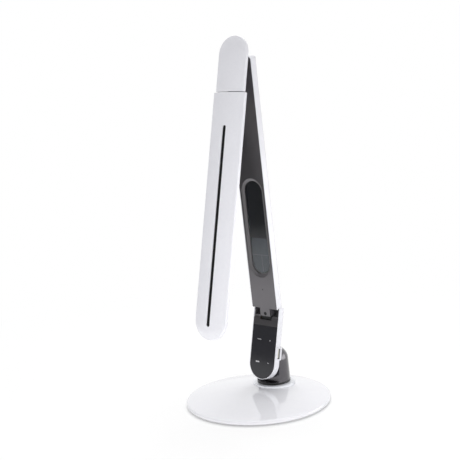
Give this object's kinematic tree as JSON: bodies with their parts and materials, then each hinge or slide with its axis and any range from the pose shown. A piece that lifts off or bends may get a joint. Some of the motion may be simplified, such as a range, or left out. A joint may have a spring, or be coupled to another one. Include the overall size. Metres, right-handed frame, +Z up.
{
  "type": "folding led desk lamp",
  "caption": "Folding desk lamp: round base, swivelling pedestal, hinged arm with a clock display, touch panel, USB socket, and a slim LED head that folds and twists.",
  "frame": {"origin": "centre of the rubber foot's underside, on the table", "axes": "+X along the hinge pins, towards the USB socket; -Y towards the user; +Z up"},
  "size_m": [0.17, 0.17, 0.4252],
  "materials": {
    "aluminium": "sheet",
    "black_abs": "moulded black ABS, satin",
    "black_metal": "black powder coat on die-cast zinc",
    "board_white": "white solder mask",
    "brass": "turned",
    "circuit_green": "solder mask",
    "clear_white": "moulded white ABS, polished",
    "dark_abs": "moulded dark grey ABS, satin",
    "display_glass": "tinted and polished",
    "display_ring": "satin metallic paint",
    "gunmetal_cover": "grey-brown metallic paint on ABS",
    "lcd": "glass-backed liquid crystal cell",
    "led": "phosphor and silicone",
    "nylon": "moulded acetal",
    "opal": "opal acrylic",
    "ribbon": "flat cable",
    "rubber": "moulded",
    "steel": "zinc plated",
    "touch_black": "black acrylic sheet",
    "white_abs": "moulded white ABS, polished"
  },
  "bodies": {
    "base": {"base_shell": "white_abs", "base_ballast": "steel", "base_plate": "black_abs", "foot_ring": "rubber", "base_screws": "steel", "trim_ring": "clear_white", "swivel_bush": "nylon", "dc_inlet": "black_abs", "power_board": "circuit_green"},
    "pedestal": {"pedestal_cover": "black_abs", "tilt_bracket": "steel", "swivel_washer": "steel", "swivel_nut": "steel", "tilt_pin": "steel"},
    "lower_segment": {"lower_shell": "white_abs", "lower_cover": "dark_abs", "tilt_lug": "black_metal", "touch_panel": "touch_black", "touch_board": "circuit_green", "touch_springs": "brass", "usb_bezel": "white_abs", "usb_port": "steel", "usb_tongue": "nylon", "elbow_pin": "steel", "elbow_washers": "brass", "lower_screws": "steel"},
    "arm": {"arm_shell": "white_abs", "arm_cover": "gunmetal_cover", "elbow_knuckle": "black_metal", "tongue_screw": "steel", "display_ring": "display_ring", "display_glass": "display_glass", "lcd_module": "lcd", "clock_board": "circuit_green", "backup_cell": "steel", "arm_ribbon": "ribbon", "arm_bracket": "steel", "arm_screws": "steel", "head_pin": "steel", "head_washers": "brass"},
    "neck": {"neck_cover": "white_abs", "neck_base": "white_abs", "head_knuckle": "black_metal", "twist_spindle": "steel", "neck_screws": "steel"},
    "led_panel": {"panel_cover": "white_abs", "slot_insert": "black_abs", "heat_spreader": "aluminium", "led_board": "board_white", "leds": "led", "diffuser_frame": "white_abs", "diffuser": "opal", "twist_bush": "brass", "twist_nut": "steel", "panel_screws": "steel"}
  },
  "joints": [
    {"name": "base_swivel", "type": "hinge", "parent": "base", "child": "pedestal", "pos_m": [0, 0.03, 0.017], "axis": [0, 0, 1], "range_deg": [-90, 90]},
    {"name": "lower_tilt", "type": "hinge", "parent": "pedestal", "child": "lower_segment", "pos_m": [0, 0.03, 0.046], "axis": [1, 0, 0], "range_deg": [-10, 8]},
    {"name": "elbow", "type": "hinge", "parent": "lower_segment", "child": "arm", "pos_m": [0, 0.02702, 0.09442], "axis": [1, 0, 0], "range_deg": [-17, 35]},
    {"name": "head_fold", "type": "hinge", "parent": "arm", "child": "neck", "pos_m": [0, 0.00535, 0.39664], "axis": [-1, 0, 0], "range_deg": [-16.5, 130]},
    {"name": "head_twist", "type": "hinge", "parent": "neck", "child": "led_panel", "pos_m": [0, -0.01587, 0.36345], "axis": [0, 0.2198, 0.9755], "range_deg": [0, 45]}
  ]
}
